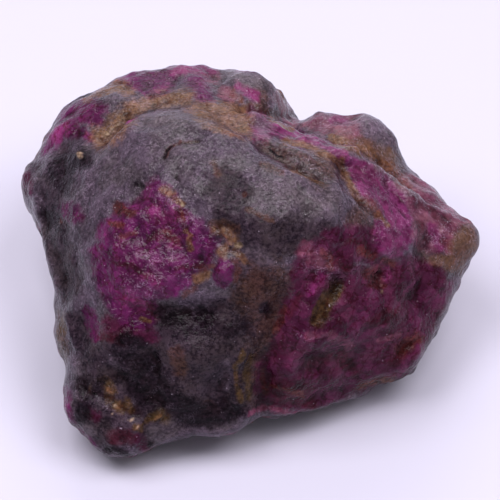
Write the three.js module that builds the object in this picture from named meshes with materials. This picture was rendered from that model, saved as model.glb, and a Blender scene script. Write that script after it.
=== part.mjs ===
// A rough sapphire: one worn lump of purple corundum grown in grey rock, lying on a table.
// Millimetres, +Z up. The stone rests on z = 0, and the origin is under the middle of its box.

import * as THREE from "three";
import { mergeVertices } from "three/addons/utils/BufferGeometryUtils.js";
import { ImprovedNoise } from "three/addons/math/ImprovedNoise.js";

// Driving dimensions
const STONE_LENGTH = 40; // left nose to right tip
const HEART = new THREE.Vector3(0, 0, 11); // inner point that every radius is measured from
const WEAR = 0.16; // how far wear has rounded the edges, as a share of the radius
const SKIN_DETAIL = 21; // subdivisions of the ball that becomes the stone
const WALK_STEP = 0.05; // step of the walk down a line of sight
const STONE_COLOUR = "#5d4a59"; // mean of the grey rock and the purple corundum

// The photograph that the landmarks were read from: 500 pixels square, seen from the front and above
const PHOTO_MIDDLE = 250;
const PHOTO_STONE_COLUMNS = 455; // columns between the left nose and the right tip
const MM_PER_PIXEL = STONE_LENGTH / PHOTO_STONE_COLUMNS;
const PHOTO_AIM = new THREE.Vector3(0, 0, 10); // what the middle pixel looks at
const PHOTO_ELEVATION = THREE.MathUtils.degToRad(48);
const PHOTO_DISTANCE = 400;

// Landmarks that the photograph shows: pixel column, pixel row, height above the table in mm
const SEEN_LANDMARKS = {
  // The outline, clockwise from the left nose
  leftNose: [22, 184, 12],
  leftBrow: [33, 160, 13.5],
  leftShoulderLow: [50, 131, 14.5],
  leftShoulder: [75, 102, 15.5],
  leftShoulderTop: [112, 81, 16.5],
  rimLeft: [143, 72, 17],
  rimMiddle: [195, 69, 17.6],
  rimDip: [220, 76, 17.8],
  rimKnob: [245, 74, 18],
  rimKnobRight: [272, 84, 17.5],
  rimKnobEnd: [283, 103, 17],
  notch: [295, 120, 16.2],
  farLobeLeft: [317, 109, 16.2],
  farLobeDip: [338, 116, 16],
  farLobeTop: [360, 114, 15.5],
  farLobeCorner: [384, 126, 14.5],
  farLobeRight: [399, 152, 13.5],
  saddle: [411, 172, 12.8],
  rightShoulder: [432, 189, 12.3],
  tipNeck: [452, 210, 12],
  tipTop: [470, 226, 11.8],
  tip: [473, 245, 11.2],
  tipUnder: [463, 268, 10],
  rightEdgeHigh: [448, 296, 9],
  rightEdge: [429, 320, 8.3],
  rightEdgeLow: [418, 350, 7.2],
  rightNub: [405, 374, 4.6],
  frontEdgeRight: [383, 382, 4],
  frontEdge: [345, 394, 3],
  frontEdgeMiddle: [300, 410, 2.6],
  frontEdgeLeft: [262, 418, 3],
  bellyEdge: [225, 430, 4.4],
  footCrease: [188, 428, 5],
  footRight: [160, 436, 4.2],
  footToe: [130, 451, 3],
  footLeft: [102, 446, 3.2],
  footHeel: [78, 428, 4],
  footSide: [67, 402, 6],
  leftEdgeLow: [69, 374, 7.2],
  leftEdgeBulge: [57, 338, 8],
  leftEdgeDip: [58, 304, 9],
  leftEdge: [50, 265, 10],
  leftEdgeHigh: [42, 233, 10.8],
  leftCheek: [28, 205, 11.6],

  // The crown of grey rock
  crownLeft: [125, 150, 21.6],
  crownBack: [165, 120, 22],
  crownMiddle: [205, 155, 24.2],
  crownRight: [285, 190, 23.4],
  crownBackRight: [270, 142, 21.8],
  crownEnd: [345, 180, 20.6],
  crownFront: [250, 235, 21.6],
  crownFrontRight: [340, 225, 20.2],

  // Behind the crown
  backShelfLeft: [110, 110, 18.8],
  backShelf: [190, 98, 20],
  backShelfRight: [245, 112, 19.8],
  rimTop: [170, 80, 18.4],
  knobTop: [255, 88, 18.8],
  farHollow: [325, 138, 18],
  farLobe: [370, 140, 16.6],
  brownHollow: [385, 170, 15.4],

  // The left side
  leftLump: [75, 128, 17.2],
  leftDark: [62, 178, 16.2],
  leftFlankHigh: [60, 225, 14.8],
  leftFlank: [75, 290, 12.8],
  leftFlankLow: [82, 350, 10],
  leftFoot: [90, 405, 6.8],

  // The front
  purpleTop: [155, 190, 22],
  purpleLeft: [100, 240, 17.6],
  purpleMiddle: [150, 250, 18.8],
  purpleRight: [210, 245, 20.2],
  purpleFoot: [135, 310, 14.6],
  darkHollow: [190, 310, 15],
  belly: [200, 360, 11.4],
  bellyLeft: [130, 365, 10.4],
  bellyLow: [215, 405, 6.6],
  footTop: [130, 415, 6.6],
  brownSeam: [255, 330, 13.4],
  brownSeamLow: [262, 385, 7.8],

  // The right face
  ridgeStart: [350, 165, 19.4],
  ridge: [385, 195, 17.6],
  ridgeEnd: [400, 225, 16.4],
  rightTop: [430, 210, 14],
  rightPink: [445, 240, 13],
  rightBrow: [305, 262, 18.4],
  rightMiddle: [330, 320, 13.6],
  rightUnderRidge: [385, 270, 14.6],
  rightOuter: [430, 280, 11.4],
  rightLow: [310, 375, 8],
  rightLowOuter: [375, 350, 8.6],
};

// Landmarks on the sides that the photograph hides: x, y, z in mm
const HIDDEN_LANDMARKS = {
  backLeft: [-12, 14.5, 9],
  backMiddle: [-2, 16.2, 9.5],
  backRight: [8, 14, 9],
  backFarRight: [14, 9.5, 7.5],
  farLobeBack: [8.2, 12.2, 12],
  farLobeBackRight: [10.4, 12.2, 11.6],
  backLeftLow: [-10, 12.5, 3.5],
  backMiddleLow: [-1, 14, 3.5],
  backRightLow: [8, 11, 3],
  leftBack: [-18, 8.5, 8],
  leftLow: [-15, 3, 3],
  leftFrontLow: [-13, -6, 2.4],
  rightLow: [14.5, 3, 4.5],
  rightFrontLow: [13, -5, 1.6],
  frontLow: [2, -11, 0.4],
  frontLeftLow: [-5, -12, 1.8],
  frontRightLow: [8, -9, 0.6],
  footUnder: [-10, -14.6, 0.4],
  baseLeft: [-9, 2, -0.6],
  baseBack: [-1, 8, -0.6],
  baseRight: [7.5, 1, -0.6],
  baseFront: [-2, -7, -0.6],
  baseFoot: [-8.5, -11, -0.4],
  baseMiddle: [-1, 0, -0.3],
};

// Relief on the skin. A place of two numbers is a pixel of the photograph, one of three is x, y, z in mm.
// Width is the half width of the form in mm, and rise its height, below zero for a groove or a hollow.
const RELIEF = {
  // Ridges and grooves of the crown
  crownLip: { along: [[122, 138], [145, 118], [185, 122], [235, 138]], width: 1.3, rise: 0.45 },
  tanGroove: { along: [[105, 134], [126, 116], [155, 103], [195, 101], [240, 130]], width: 1.2, rise: -0.55 },
  crownTrough: { along: [[208, 165], [222, 190], [225, 215]], width: 1.6, rise: -0.35 },
  crownSwell: { along: [[280, 200], [310, 200]], width: 2.4, rise: 0.4 },
  slabCrease: { along: [[258, 142], [282, 156], [300, 166], [320, 179]], width: 0.9, rise: -0.6 },
  slabRidge: { along: [[282, 146], [310, 160], [334, 178]], width: 0.9, rise: 0.3 },
  purpleRidge: { along: [[256, 122], [272, 129], [300, 134], [345, 157]], width: 0.9, rise: 0.65 },
  sharpRidge: { along: [[345, 157], [365, 168], [384, 182], [416, 205]], width: 1.3, rise: 0.9 },
  brownHollow: { along: [[340, 138], [364, 151], [386, 165], [402, 179]], width: 1.6, rise: -0.8 },
  slabEdge: { along: [[341, 164], [349, 186], [362, 202]], width: 0.8, rise: -0.4 },

  // The rim and the two lobes behind the crown
  notchGroove: { along: [[252, 108], [272, 113], [288, 116]], width: 1.4, rise: -1.1 },
  notchGap: { along: [[296, 118], [4.8, 13.5, 13.5], [5.6, 15, 9]], width: 2, rise: -1.8 },
  knob: { along: [[238, 84], [256, 88]], width: 2, rise: 0.45 },
  rimDip: { along: [[216, 76], [222, 92]], width: 1.1, rise: -0.45 },
  farLobe: { along: [[365, 130], [380, 142]], width: 2.2, rise: 0.4 },
  leftLumps: { along: [[62, 130], [80, 120]], width: 1.5, rise: 0.4 },
  leftLumpCrease: { along: [[60, 147], [78, 142], [98, 140]], width: 1.1, rise: -0.4 },
  leftLedge: { along: [[72, 110], [100, 104], [125, 98]], width: 1, rise: 0.3 },
  leftNoseLump: { along: [[42, 178], [50, 200]], width: 1.8, rise: 0.4 },

  // The purple patch and what lies under it
  purplePatch: { along: [[128, 240], [150, 272]], width: 3, rise: 0.4 },
  patchBorder: { along: [[140, 188], [118, 205], [98, 232]], width: 1, rise: -0.25 },
  crustPit: { along: [[218, 230], [232, 246]], width: 1, rise: -0.6 },
  purpleBead: { along: [[222, 272], [228, 277]], width: 1, rise: 0.5 },
  patchLedge: { along: [[148, 290], [185, 286], [214, 292]], width: 1.3, rise: 0.3 },
  darkHollow: { along: [[158, 305], [178, 310]], width: 1.5, rise: -0.4 },
  darkHollowRight: { along: [[192, 316], [214, 312]], width: 1.5, rise: -0.45 },

  // The front and the foot
  brownSeam: { along: [[284, 296], [274, 330], [266, 360], [262, 388], [264, 408]], width: 1.2, rise: -0.75 },
  brownRidge: { along: [[244, 345], [240, 375], [238, 402]], width: 1.1, rise: 0.4 },
  belly: { along: [[204, 345], [210, 385]], width: 2.2, rise: 0.45 },
  bellyDent: { along: [[152, 352], [160, 376], [150, 396]], width: 1.5, rise: -0.5 },
  maroonLump: { along: [[120, 330], [140, 338]], width: 2, rise: 0.35 },
  footCrease: { along: [[84, 378], [118, 384], [148, 402], [178, 424]], width: 1.2, rise: -0.5 },
  footLump: { along: [[108, 418], [128, 428]], width: 2.6, rise: 0.6 },
  flankEdge: { along: [[36, 190], [46, 232], [60, 288]], width: 0.9, rise: 0.45 },
  flankWaist: { along: [[60, 303], [78, 318], [86, 342]], width: 1.2, rise: -0.4 },

  // The right face
  facetEdge: { along: [[385, 252], [404, 250], [414, 228]], width: 1.2, rise: 0.35 },
  ochreHollow: { along: [[366, 272], [378, 280]], width: 1.2, rise: -0.45 },
  browLumps: { along: [[308, 258], [346, 258]], width: 1.4, rise: 0.3 },
  lensPit: { along: [[338, 286], [314, 322]], width: 0.9, rise: -0.4 },
  rightPad: { along: [[290, 348], [286, 385]], width: 2.1, rise: 0.5 },
  rightSwell: { along: [[335, 338], [365, 322]], width: 2.2, rise: 0.4 },
  dentLeft: { along: [[314, 360], [320, 374]], width: 1.3, rise: -0.5 },
  dentMiddle: { along: [[342, 360], [352, 368]], width: 1.2, rise: -0.35 },
  dentRight: { along: [[398, 352], [410, 343]], width: 1.4, rise: -0.45 },
  tipWaist: { along: [[424, 250], [428, 275], [412, 300]], width: 1.5, rise: -0.4 },
  frontLip: { along: [[275, 409], [320, 402], [365, 392]], width: 1, rise: 0.4 },

  // The sides that the photograph hides
  backLedge: { along: [[-13, 15, 12], [-4, 17, 11], [4, 15, 12]], width: 1.6, rise: 0.45 },
  backHollow: { along: [[-8, 15, 7], [0, 16, 6.5]], width: 2.6, rise: -0.9 },
  backCrack: { along: [[-15, 11, 13], [-14, 12, 7], [-10, 12, 2]], width: 1.1, rise: -0.8 },
  backRib: { along: [[11, 12, 11], [10, 12, 6], [8, 10, 2]], width: 1.4, rise: 0.7 },
  leftHollow: { along: [[-18, 3, 7], [-17, 0, 5]], width: 2.2, rise: -0.7 },
  rightHollow: { along: [[16, 3, 7], [15, -1, 6]], width: 2, rise: -0.6 },
  rightRib: { along: [[17, 6, 9], [14, 5, 3]], width: 1.3, rise: 0.6 },
};

// Lumps all over: how far they lie apart in mm, and their rise on the seen and on the hidden sides
const LUMPS = [
  { apart: 5.5, seen: 0.3, hidden: 0.9 },
  { apart: 2.6, seen: 0.28, hidden: 0.5 },
];
const HIDDEN_FROM = 0.1; // cosine of the turn away from the eye where the hidden lumps begin
const HIDDEN_FULLY = 0.5; // and where they are full

// The photograph's eye and the two directions of its picture plane
const PHOTO_RIGHT = new THREE.Vector3(1, 0, 0);
const PHOTO_UP = new THREE.Vector3(0, Math.sin(PHOTO_ELEVATION), Math.cos(PHOTO_ELEVATION));
const PHOTO_EYE = new THREE.Vector3()
  .crossVectors(PHOTO_RIGHT, PHOTO_UP)
  .multiplyScalar(PHOTO_DISTANCE)
  .add(PHOTO_AIM);

// The line of sight through a pixel of the photograph
function sightThrough(column, row) {
  const onPlane = PHOTO_AIM.clone()
    .addScaledVector(PHOTO_RIGHT, (column - PHOTO_MIDDLE) * MM_PER_PIXEL)
    .addScaledVector(PHOTO_UP, (PHOTO_MIDDLE - row) * MM_PER_PIXEL);
  return new THREE.Ray(PHOTO_EYE, onPlane.sub(PHOTO_EYE).normalize());
}

// The point that a pixel shows, when its height above the table is known
function pointSeen([column, row, height]) {
  const sight = sightThrough(column, row);
  const level = new THREE.Plane(new THREE.Vector3(0, 0, 1), -height);
  return sight.intersectPlane(level, new THREE.Vector3());
}

// Solves a square system of linear equations by elimination
function solve(matrix, values) {
  const rows = matrix.map((row, i) => [...row, values[i]]);
  const size = rows.length;
  for (let i = 0; i < size; i++) {
    let pivot = i;
    for (let k = i + 1; k < size; k++) {
      if (Math.abs(rows[k][i]) > Math.abs(rows[pivot][i])) pivot = k;
    }
    [rows[i], rows[pivot]] = [rows[pivot], rows[i]];
    for (let k = 0; k < size; k++) {
      if (k === i) continue;
      const share = rows[k][i] / rows[i][i];
      for (let j = i; j <= size; j++) rows[k][j] -= share * rows[i][j];
    }
  }
  return rows.map((row, i) => row[size] / row[i]);
}

// A worn skin stretched over the landmarks: the radius from the heart in any direction
function skinOver(points) {
  const offsets = points.map((point) => point.clone().sub(HEART));
  const radii = offsets.map((offset) => offset.length());
  const directions = offsets.map((offset) => offset.clone().normalize());
  const reach = (a, b) => Math.sqrt(a.distanceToSquared(b) + WEAR * WEAR);
  const mean = radii.reduce((sum, radius) => sum + radius, 0) / radii.length;
  const weights = solve(
    directions.map((a) => directions.map((b) => reach(a, b))),
    radii.map((radius) => radius - mean),
  );
  return (direction) => directions.reduce((sum, d, i) => sum + weights[i] * reach(direction, d), mean);
}

const landmarks = [
  ...Object.values(SEEN_LANDMARKS).map(pointSeen),
  ...Object.values(HIDDEN_LANDMARKS).map(([x, y, z]) => new THREE.Vector3(x, y, z)),
];
const skinRadius = skinOver(landmarks);

// Where the skin shows at a pixel: a walk down the line of sight, from outside the stone to its skin.
// A line that just misses the stone gives the place where it comes nearest.
function directionSeen(column, row) {
  const sight = sightThrough(column, row);
  const offset = new THREE.Vector3();
  let nearest = new THREE.Vector3();
  let leastGap = Infinity;
  const farthest = PHOTO_DISTANCE + STONE_LENGTH;
  for (let walked = PHOTO_DISTANCE - STONE_LENGTH; walked < farthest; walked += WALK_STEP) {
    sight.at(walked, offset).sub(HEART);
    const direction = offset.clone().normalize();
    const gap = offset.length() - skinRadius(direction);
    if (gap < leastGap) {
      leastGap = gap;
      nearest = direction;
    }
    if (gap <= 0) break;
  }
  return nearest;
}

function directionOf(place) {
  if (place.length === 2) return directionSeen(...place);
  return new THREE.Vector3(...place).sub(HEART).normalize();
}

// A form of the relief as a function: its rise in any direction from the heart
function reliefForm({ along, width, rise }) {
  const places = along.map(directionOf);
  const stretches = places.slice(1).map((place, i) => new THREE.Line3(places[i], place));
  const nearest = new THREE.Vector3();
  return (direction, radius) => {
    const gaps = stretches.map((stretch) => {
      stretch.closestPointToPoint(direction, true, nearest);
      return nearest.distanceTo(direction);
    });
    const share = (Math.min(...gaps) * radius) / width;
    return rise * Math.exp(-share * share);
  };
}

const reliefForms = Object.values(RELIEF).map(reliefForm);

// Soft lumps from smooth noise, higher on the sides that the photograph hides
const noise = new ImprovedNoise();
const TOWARDS_EYE = PHOTO_EYE.clone().sub(HEART).normalize();

function lumpRise(direction, radius) {
  const turnedAway = -direction.dot(TOWARDS_EYE);
  const hidden = THREE.MathUtils.smoothstep(turnedAway, HIDDEN_FROM, HIDDEN_FULLY);
  return LUMPS.reduce((sum, lump) => {
    const place = direction.clone().multiplyScalar(radius / lump.apart);
    const rise = THREE.MathUtils.lerp(lump.seen, lump.hidden, hidden);
    return sum + rise * noise.noise(place.x, place.y, place.z);
  }, 0);
}

// The stone: a ball whose points are moved out to the skin, with a flat worn face under it
function stoneGeometry() {
  const ball = new THREE.IcosahedronGeometry(1, SKIN_DETAIL);
  ball.deleteAttribute("normal");
  ball.deleteAttribute("uv");
  const geometry = mergeVertices(ball);
  const position = geometry.getAttribute("position");
  const direction = new THREE.Vector3();
  for (let i = 0; i < position.count; i++) {
    direction.fromBufferAttribute(position, i).normalize();
    const radius = skinRadius(direction);
    const relief = reliefForms.reduce((sum, form) => sum + form(direction, radius), 0);
    const reach = radius + relief + lumpRise(direction, radius);
    const point = HEART.clone().addScaledVector(direction, reach);
    position.setXYZ(i, point.x, point.y, Math.max(point.z, 0));
  }
  geometry.computeBoundingBox();
  const middle = geometry.boundingBox.getCenter(new THREE.Vector3());
  geometry.translate(-middle.x, -middle.y, 0);
  geometry.computeVertexNormals();
  return geometry;
}

const stone = new THREE.Mesh(
  stoneGeometry(),
  new THREE.MeshStandardMaterial({ color: STONE_COLOUR, roughness: 0.5, metalness: 0 }),
);
stone.name = "stone";

const sapphire = new THREE.Group();
sapphire.add(stone);

export default sapphire;
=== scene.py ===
# %% [markdown]
# # A rough sapphire
# The object is one lump of purple corundum grown in grey rock, about 40 mm long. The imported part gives
# its solid, in metres, standing on z = 0. This lesson copies that solid, carves the fine relief into the
# copy, paints the minerals where they lie and gives the copy a stone finish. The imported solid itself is
# never changed.

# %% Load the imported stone
import math

import bpy
import numpy as np
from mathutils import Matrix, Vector, noise
from mathutils.bvhtree import BVHTree


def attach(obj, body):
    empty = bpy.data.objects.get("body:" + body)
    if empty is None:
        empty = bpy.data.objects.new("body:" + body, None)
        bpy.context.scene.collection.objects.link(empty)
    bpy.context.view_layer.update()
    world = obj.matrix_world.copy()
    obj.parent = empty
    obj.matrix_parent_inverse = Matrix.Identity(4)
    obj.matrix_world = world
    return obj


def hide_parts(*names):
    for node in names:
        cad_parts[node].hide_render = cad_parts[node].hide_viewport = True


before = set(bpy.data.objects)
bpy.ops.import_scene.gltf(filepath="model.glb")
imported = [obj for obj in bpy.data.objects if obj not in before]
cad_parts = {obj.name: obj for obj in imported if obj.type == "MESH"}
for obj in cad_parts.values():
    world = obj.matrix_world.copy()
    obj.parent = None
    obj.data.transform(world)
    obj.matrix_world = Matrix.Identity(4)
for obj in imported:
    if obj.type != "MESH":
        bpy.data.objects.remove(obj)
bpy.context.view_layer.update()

MM = 0.001

# %% [markdown]
# ## The camera
# The stone is seen from the front and from well above, through a long lens, so that near and far parts
# keep nearly the same scale. The lens follows from the width of the view: one pixel of the 500-pixel
# picture is the same small length on the stone wherever it is read. Later cells use this to find a place
# on the stone from a place in the picture.

# %% Camera
MM_PER_PIXEL = 40 / 455
PICTURE_MIDDLE = 250
AIM = Vector((0, 0, 10 * MM))
ELEVATION = math.radians(48)
DISTANCE = 400 * MM
SENSOR_WIDTH = 36

towards_camera = Vector((0, -math.cos(ELEVATION), math.sin(ELEVATION)))
half_view = PICTURE_MIDDLE * MM_PER_PIXEL * MM
eye = AIM + towards_camera * DISTANCE
bpy.ops.object.select_all(action="DESELECT")
bpy.ops.object.camera_add(location=eye, rotation=(math.pi / 2 - ELEVATION, 0, 0))
camera = bpy.context.object
camera.data.sensor_width = SENSOR_WIDTH
camera.data.lens = SENSOR_WIDTH / 2 * DISTANCE / half_view
camera.data.clip_start = 10 * MM
camera.data.clip_end = 10
bpy.context.scene.camera = camera
print("lens", round(camera.data.lens), "mm")

# %% [markdown]
# ## Floor and light
# The stone lies on plain pale paper under two soft lamps, above left and above right, with one more
# behind it. A sun would cut a hard shadow. Wide lamps give the short soft shadow along the front edge
# instead, and the pale surroundings fill it. The Standard view keeps the colours as they are set.

# %% Floor
FLOOR_SIZE = 3
PAPER_COLOUR = (0.56, 0.535, 0.655, 1)
PAPER_ROUGHNESS = 0.9
PAPER_SPECULAR = 0.1

bpy.ops.object.select_all(action="DESELECT")
bpy.ops.mesh.primitive_plane_add(size=FLOOR_SIZE)
floor = bpy.context.object
floor.name = "floor"
paper = bpy.data.materials.new("pale paper")
paper.use_nodes = True
paper_surface = paper.node_tree.nodes["Principled BSDF"]
paper_surface.inputs["Base Color"].default_value = PAPER_COLOUR
paper_surface.inputs["Roughness"].default_value = PAPER_ROUGHNESS
paper_surface.inputs["Specular IOR Level"].default_value = PAPER_SPECULAR
floor.data.materials.append(paper)
print("floor", FLOOR_SIZE, "m wide")

# %% Light
SURROUND_COLOUR = (1.0, 0.985, 1.0, 1)
SURROUND_STRENGTH = 0.34
LAMP_COLOUR = (1.0, 0.98, 1.0)
# Each lamp has a place, a width and a power in watts
LAMPS = {
    "right_lamp": (Vector((100 * MM, -40 * MM, 240 * MM)), 150 * MM, 0.45),
    "left_lamp": (Vector((-90 * MM, -30 * MM, 240 * MM)), 150 * MM, 0.51),
    "back_lamp": (Vector((0, 280 * MM, 220 * MM)), 200 * MM, 0.49),
}

studio = bpy.data.worlds.new("studio")
studio.use_nodes = True
surround = studio.node_tree.nodes["Background"]
surround.inputs["Color"].default_value = SURROUND_COLOUR
surround.inputs["Strength"].default_value = SURROUND_STRENGTH
bpy.context.scene.world = studio
bpy.context.scene.view_settings.view_transform = "Standard"

for lamp_name, (lamp_place, lamp_width, lamp_power) in LAMPS.items():
    bpy.ops.object.select_all(action="DESELECT")
    bpy.ops.object.light_add(type="AREA", location=lamp_place)
    lamp = bpy.context.object
    lamp.name = lamp_name
    lamp.data.shape = "SQUARE"
    lamp.data.size = lamp_width
    lamp.data.energy = lamp_power
    lamp.data.color = LAMP_COLOUR
    lamp.rotation_euler = (AIM - lamp_place).to_track_quat("-Z", "Y").to_euler()
    print(lamp_name, lamp_power, "W,", round(lamp_width / MM), "mm wide")

# %% [markdown]
# ## The skin
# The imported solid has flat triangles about 0.85 mm wide, too coarse for grains. A copy of it is merged
# into one closed mesh, and every edge is cut in four with smoothing, which rounds the facets as tumbling
# rounds a stone. A subdivision modifier would do the same but would pull sharp edges in.

# %% Skin
CUTS = 3
MERGE_DISTANCE = 0.001 * MM

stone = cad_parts["stone"]
bpy.ops.object.select_all(action="DESELECT")
stone.select_set(True)
bpy.context.view_layer.objects.active = stone
bpy.ops.object.duplicate()
skin = bpy.context.object
skin.name = "sapphire"
bpy.ops.object.mode_set(mode="EDIT")
bpy.ops.mesh.select_all(action="SELECT")
bpy.ops.mesh.remove_doubles(threshold=MERGE_DISTANCE)
bpy.ops.mesh.subdivide(number_cuts=CUTS, smoothness=1.0)
bpy.ops.object.mode_set(mode="OBJECT")
bpy.ops.object.shade_smooth()
print("skin", len(skin.data.vertices), "points", len(skin.data.polygons), "triangles")

# %% [markdown]
# ## From the picture to the stone
# Every point of the skin has a column and a row in the picture. They follow from the camera alone: how
# far the point lies from the sight line, to the side and upwards, at its own depth.

# %% Columns and rows


def point_values(source, name):
    values = np.empty(len(source) * 3)
    source.foreach_get(name, values)
    return values.reshape(-1, 3)


place = point_values(skin.data.vertices, "co")
normal = point_values(skin.data.vertex_normals, "vector")
sight = np.array(eye) - place
depth = sight @ np.array(towards_camera)
up_in_view = np.array((0, math.sin(ELEVATION), math.cos(ELEVATION)))
pixels_per_metre = PICTURE_MIDDLE / half_view * DISTANCE / depth
column = PICTURE_MIDDLE + (place - np.array(AIM))[:, 0] * pixels_per_metre
row = PICTURE_MIDDLE - (place - np.array(AIM)) @ up_in_view * pixels_per_metre
print("columns", round(column.min()), "to", round(column.max()))
print("rows", round(row.min()), "to", round(row.max()))

# %% [markdown]
# ## The seen side
# Points that face the camera and that nothing hides are seen points. Their share is a number from 0 to 1
# that fades near the rim and is then spread a little along the mesh, so that what is placed on the seen
# side passes softly into the hidden sides.

# %% Seen share
FACING_FROM, FACING_FULLY = 0.04, 0.2
CLEAR_OF_SKIN = 0.1 * MM
SPREAD_STEPS = 6

ends = np.empty(len(skin.data.edges) * 2, dtype=np.int32)
skin.data.edges.foreach_get("vertices", ends)
ends = ends.reshape(-1, 2)
neighbours = np.bincount(ends.ravel(), minlength=len(place))


def smooth_step(low, high, values):
    t = np.clip((values - low) / (high - low), 0, 1)
    return t * t * (3 - 2 * t)


def spread(values, steps):
    for _ in range(steps):
        total = np.bincount(ends[:, 0], values[ends[:, 1]], len(values))
        total += np.bincount(ends[:, 1], values[ends[:, 0]], len(values))
        values = 0.5 * values + 0.5 * total / neighbours
    return values


sight /= np.linalg.norm(sight, axis=1, keepdims=True)
facing = (normal * sight).sum(1)
surface_tree = BVHTree.FromObject(skin, bpy.context.evaluated_depsgraph_get())
clear = np.zeros(len(place))
for index in np.flatnonzero(facing > 0):
    start = Vector(place[index] + normal[index] * CLEAR_OF_SKIN)
    clear[index] = surface_tree.ray_cast(start, Vector(sight[index]))[0] is None
seen = spread(smooth_step(FACING_FROM, FACING_FULLY, facing) * clear, SPREAD_STEPS)
print("seen", round(100 * (seen > 0.5).mean()), "percent of the skin")

# %% [markdown]
# ## Brushes
# Two brushes mark places on the seen side. An area is a closed outline with a soft border and a streak
# is a soft line with a half width, both read in picture pixels. Each gives 1 inside, one half at its edge
# and 0 well outside. A drawn line is too clean for a stone, so every point's column and row first wander
# with a solid noise.

# %% Brushes
# Each wander has a size in mm and a reach in pixels
WANDER = ((1.6, 3.2), (0.6, 1.5))
COLUMN_SEED, ROW_SEED = 1, 9
SEED_STEP = (7.3, 3.1, 5.7)


def solid_noise(size, seed):
    offset = Vector([seed * step for step in SEED_STEP])
    return np.array([noise.noise(Vector(point) / (size * MM) + offset) for point in place])


wander_column = column + sum(reach * solid_noise(size, COLUMN_SEED + size) for size, reach in WANDER)
wander_row = row + sum(reach * solid_noise(size, ROW_SEED + size) for size, reach in WANDER)


def line_distance(points):
    nearest = np.full(len(place), np.inf)
    for (x0, y0), (x1, y1) in zip(points, points[1:] if len(points) > 1 else points):
        run = (x1 - x0) ** 2 + (y1 - y0) ** 2
        along = (wander_column - x0) * (x1 - x0) + (wander_row - y0) * (y1 - y0)
        along = np.clip(along / max(run, 1), 0, 1)
        away = np.hypot(wander_column - x0 - along * (x1 - x0), wander_row - y0 - along * (y1 - y0))
        nearest = np.minimum(nearest, away)
    return nearest


def area(soft, *points):
    inside = np.zeros(len(place), dtype=bool)
    closed = points + points[:1]
    for (x0, y0), (x1, y1) in zip(closed, closed[1:]):
        if y0 != y1:
            crossing = x0 + (wander_row - y0) * (x1 - x0) / (y1 - y0)
            inside ^= ((y0 > wander_row) != (y1 > wander_row)) & (wander_column < crossing)
    return np.clip(0.5 + np.where(inside, 0.5, -0.5) * line_distance(closed) / soft, 0, 1)


def streak(half_width, *points):
    return np.clip(1 - 0.5 * line_distance(points) / half_width, 0, 1)


seen_minerals = {}


def mark(mineral, places):
    seen_minerals[mineral] = np.max(list(places.values()), axis=0)
    share = round(100 * (seen_minerals[mineral] * seen > 0.5).mean(), 1)
    print(mineral, "in", len(places), "places, on", share, "percent of the skin")


print("brushes wander by up to", sum(reach for _, reach in WANDER), "pixels")

# %% [markdown]
# ## Purple and magenta
# Corundum shows in several tones. Purple lies in the patch at the left, at the back rim and in the bead,
# bright magenta on the sharp ridge and the strip that leads to it. Each tone is a set of named places. A
# photograph wrapped on the stone would smear on its sides.

# %% Purple places
PATCH = (
    (152, 176), (166, 186), (178, 193), (186, 206), (192, 216), (204, 222), (212, 233), (218, 246),
    (215, 258), (206, 270), (194, 276), (188, 288), (176, 297), (158, 299), (165, 314), (156, 324),
    (138, 332), (122, 326), (112, 310), (101, 296), (95, 280), (90, 262), (91, 248), (97, 240),
    (94, 230), (101, 222), (113, 214), (119, 205), (131, 200), (141, 191),
)
BEAD = ((221, 256), (230, 262), (235, 272), (233, 282), (225, 288), (216, 283), (212, 274), (216, 264))
BACK_RIM = (
    (106, 86), (125, 73), (145, 66), (172, 63), (178, 80), (166, 93), (150, 97), (138, 92),
    (124, 84),
)

mark("purple", {
    "patch": area(7, *PATCH),
    "bead": area(4, *BEAD),
    "back rim": area(6, *BACK_RIM),
    "behind the knob": streak(9, (196, 84), (205, 97)),
    "left lump": streak(9, (44, 144), (58, 130), (72, 127)),
    "left shelf": streak(8, (62, 113), (80, 108), (98, 109)),
    "under the left shelf": streak(6, (84, 118), (99, 120)),
    "under the left lump": streak(5, (80, 132), (89, 138)),
    "left flank": streak(8, (68, 208), (77, 215)),
    "waist": streak(5, (86, 312), (92, 324), (94, 336)),
    "foot edge": streak(5, (63, 392), (65, 410), (73, 428), (90, 444)),
})

# %% Magenta places
SHARP_RIDGE = (
    (344, 155), (356, 157), (373, 168), (391, 184), (404, 195), (411, 216), (412, 240), (403, 256),
    (390, 260), (377, 252), (373, 235), (374, 220), (378, 209), (370, 203), (360, 194), (351, 180),
    (346, 168),
)

mark("magenta", {
    "sharp ridge": area(5, *SHARP_RIDGE),
    "strip": streak(5, (272, 131), (295, 137), (315, 144), (332, 152), (344, 158)),
    "strip end": streak(9, (256, 117), (262, 130)),
    "rim top": streak(6, (174, 70), (195, 67), (213, 71)),
    "knob": streak(5, (239, 88), (248, 92), (255, 97)),
    "far lobe": streak(5, (332, 117), (345, 120)),
    "shoulder": streak(7, (430, 230), (442, 243)),
    "left lump": streak(6, (52, 138), (66, 129)),
    "patch top": streak(7, (152, 212), (170, 216)),
    "patch middle": streak(6, (160, 234), (174, 244)),
    "patch low": streak(5, (148, 276), (156, 284)),
    "patch foot": streak(6, (120, 296), (140, 306)),
    "beside the lens": streak(4, (310, 290), (322, 276)),
    "face top": streak(5, (380, 266), (386, 276)),
})
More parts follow.
